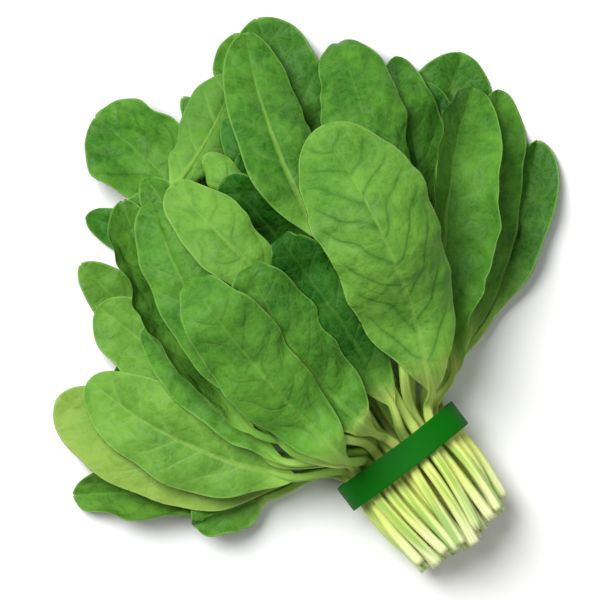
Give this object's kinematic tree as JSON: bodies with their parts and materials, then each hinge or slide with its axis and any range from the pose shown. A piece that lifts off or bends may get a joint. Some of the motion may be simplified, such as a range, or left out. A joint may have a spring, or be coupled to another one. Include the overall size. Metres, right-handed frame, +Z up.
{
  "type": "spinach bunch",
  "caption": "Bunch of fresh flat-leaf spinach lying on its side, oval leaves on long pale stems gathered and held by one plain wide green band.",
  "frame": {"origin": "centre of the bounding box's underside, on the surface that the bunch lies on", "axes": "+Y from the cut stem ends to the leaf tips along the bunch, +X to the right across the fan of leaves as seen from above with the tips away, +Z up from the surface"},
  "size_m": [0.2656, 0.2552, 0.0746],
  "materials": {
    "leaf_bright": "fresh leaf, bright green, satin with a soft sheen",
    "leaf_middle": "fresh leaf, mid green, satin with a soft sheen",
    "leaf_deep": "fresh leaf, deep green, satin with a soft sheen",
    "leaf_yellowing": "fresh leaf paling to yellow-green at the tip, satin",
    "tie_band": "plain dark green elastic band, matt to satin, no print"
  },
  "bodies": {
    "root": {"tie_band": "tie_band", "leaf_low_left_folded": "leaf_middle", "leaf_under_left": "leaf_deep", "leaf_under_middle": "leaf_deep", "leaf_under_top": "leaf_deep", "leaf_under_right": "leaf_deep", "leaf_low_left_short": "leaf_middle", "leaf_left_edge": "leaf_middle", "leaf_left_small_tip": "leaf_deep", "leaf_round_upper_left": "leaf_middle", "leaf_top_tiny_tip": "leaf_middle", "leaf_behind_top_left": "leaf_middle", "leaf_top_back": "leaf_middle", "leaf_top_right_back": "leaf_middle", "leaf_far_right": "leaf_middle", "leaf_left_yellowing": "leaf_yellowing", "leaf_left_upper": "leaf_bright", "leaf_left_inner_low": "leaf_middle", "leaf_left_inner": "leaf_middle", "leaf_underside_up": "leaf_middle", "leaf_small_inner_tip": "leaf_deep", "leaf_inner_dark": "leaf_deep", "leaf_right_under": "leaf_deep", "leaf_right_narrow": "leaf_middle", "leaf_right_edge": "leaf_middle", "leaf_left_large": "leaf_bright", "leaf_left_sliver_low": "leaf_deep", "leaf_left_sliver": "leaf_middle", "leaf_left_cupped": "leaf_middle", "leaf_small_round": "leaf_bright", "leaf_inner_pale_edge": "leaf_deep", "leaf_top_left": "leaf_middle", "leaf_top_centre": "leaf_middle", "leaf_right_tall": "leaf_middle", "leaf_inner_sliver": "leaf_deep", "leaf_inner_low": "leaf_middle", "leaf_inner_ridge": "leaf_middle", "leaf_upper_bright": "leaf_bright", "leaf_middle_shaded": "leaf_deep", "leaf_middle": "leaf_middle", "leaf_middle_left": "leaf_middle", "leaf_front_large": "leaf_bright"}
  },
  "joints": []
}
